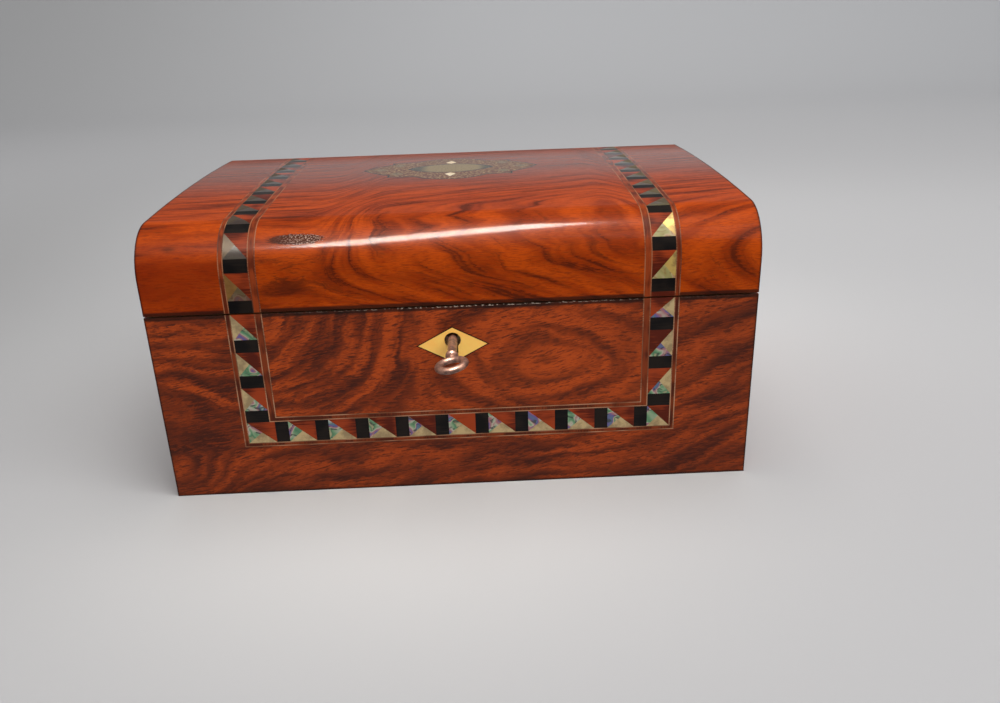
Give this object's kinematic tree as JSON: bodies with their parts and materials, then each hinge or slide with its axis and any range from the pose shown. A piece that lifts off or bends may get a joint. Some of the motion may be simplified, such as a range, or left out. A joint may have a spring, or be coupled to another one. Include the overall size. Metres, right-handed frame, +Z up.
{
  "type": "box",
  "caption": "Veneered wooden box with a hinged domed lid, inlaid geometric bands, an oval cartouche, a link-plate lock with its key, and a lift-out compartment tray.",
  "frame": {"origin": "middle of the flat underside", "axes": "+X to the right seen from the front, along the longest side; +Y from front to back; +Z up"},
  "size_m": [0.28, 0.244, 0.1338],
  "materials": {
    "carcass_wood": "bare planed softwood",
    "base_rosewood": "dark red-brown figured rosewood, french polished",
    "lid_rosewood": "orange-red rosewood with dark streaks, french polished",
    "crossband_rosewood": "dark red-brown rosewood, french polished",
    "pale_stringing": "thin pale boxwood lines, polished",
    "ebony": "near-black ebony, polished",
    "redwood": "orange and dark red veneer triangles, polished",
    "inlay_brass": "dulled inlaid brass",
    "pearl_shell": "grey-green pearl shell with soft colours",
    "cartouche_redwood": "red-brown veneer, polished",
    "bone": "cream bone, lightly yellowed",
    "escutcheon_brass": "warm golden brass, satin",
    "lock_brass": "plain brass, tarnished",
    "lock_steel": "blued and worn steel",
    "hinge_brass": "plain brass, tarnished",
    "key_metal": "copper-brown worn metal",
    "lid_silk": "deep red silk over padding",
    "lining_paper": "deep red cloth",
    "tray_wood": "rosewood edges and thin wood, polished",
    "tray_velvet": "deep red velvet",
    "ribbon_silk": "red silk ribbon"
  },
  "bodies": {
    "base": {"bottom_panel": "carcass_wood", "base_front_board": "carcass_wood", "base_back_board": "carcass_wood", "base_left_board": "carcass_wood", "base_right_board": "carcass_wood", "base_front_veneer": "base_rosewood", "base_back_veneer": "base_rosewood", "base_left_veneer": "base_rosewood", "base_right_veneer": "base_rosewood", "base_crossband": "crossband_rosewood", "base_stringing": "pale_stringing", "base_band_ebony": "ebony", "base_band_redwood": "redwood", "base_band_brass": "inlay_brass", "base_band_shell": "pearl_shell", "escutcheon": "escutcheon_brass", "lock_plate": "lock_brass", "lock_cap": "lock_brass", "lock_pin": "lock_steel", "base_screws": "lock_steel", "left_hinge_base_leaf": "hinge_brass", "right_hinge_base_leaf": "hinge_brass", "hinge_pins": "lock_steel", "base_lining": "lining_paper", "tray_bearers": "carcass_wood"},
    "lid": {"lid_front_rail": "carcass_wood", "lid_back_rail": "carcass_wood", "lid_top_board": "carcass_wood", "lid_left_end": "carcass_wood", "lid_right_end": "carcass_wood", "lid_left_veneer": "lid_rosewood", "lid_right_veneer": "lid_rosewood", "lid_veneer": "lid_rosewood", "lid_stringing": "pale_stringing", "lid_crossband": "crossband_rosewood", "lid_band_ebony": "ebony", "lid_band_redwood": "redwood", "lid_band_brass": "inlay_brass", "lid_band_shell": "pearl_shell", "cartouche_border": "ebony", "cartouche_ground": "cartouche_redwood", "cartouche_plate": "inlay_brass", "cartouche_kites": "bone", "cartouche_shell": "pearl_shell", "link_plate": "lock_brass", "link_hooks": "lock_steel", "left_hinge_lid_leaf": "hinge_brass", "right_hinge_lid_leaf": "hinge_brass", "lid_screws": "lock_steel", "lid_lining": "lid_silk"},
    "key": {"key": "key_metal"},
    "bolt": {"lock_bolt": "lock_brass", "bolt_studs": "lock_steel", "bolt_spring": "lock_steel"},
    "tray": {"tray_frame": "tray_wood", "tray_floor": "tray_wood", "tray_long_dividers": "tray_wood", "tray_cross_dividers": "tray_wood", "tray_pads": "tray_velvet", "tray_ribbons": "ribbon_silk"}
  },
  "joints": [
    {"name": "lid_hinge", "type": "hinge", "parent": "base", "child": "lid", "pos_m": [0, 0.1037, 0.0934], "axis": [-1, 0, 0], "range_deg": [0, 100]},
    {"name": "key_turn", "type": "hinge", "parent": "base", "child": "key", "pos_m": [-0.0012, -0.095, 0.0764], "axis": [0, 1, 0], "range_deg": [-80, 280]},
    {"name": "bolt_slide", "type": "slide", "parent": "base", "child": "bolt", "axis": [1, 0, 0], "range_m": [-0.00133, 0.00467]},
    {"name": "tray_lift", "type": "slide", "parent": "base", "child": "tray", "axis": [0, 0, 1], "range_m": [0, 0.018]}
  ],
  "couplings": [
    {"joint": "bolt_slide", "follows": "key_turn", "m_per_rad": 0.00095493}
  ]
}
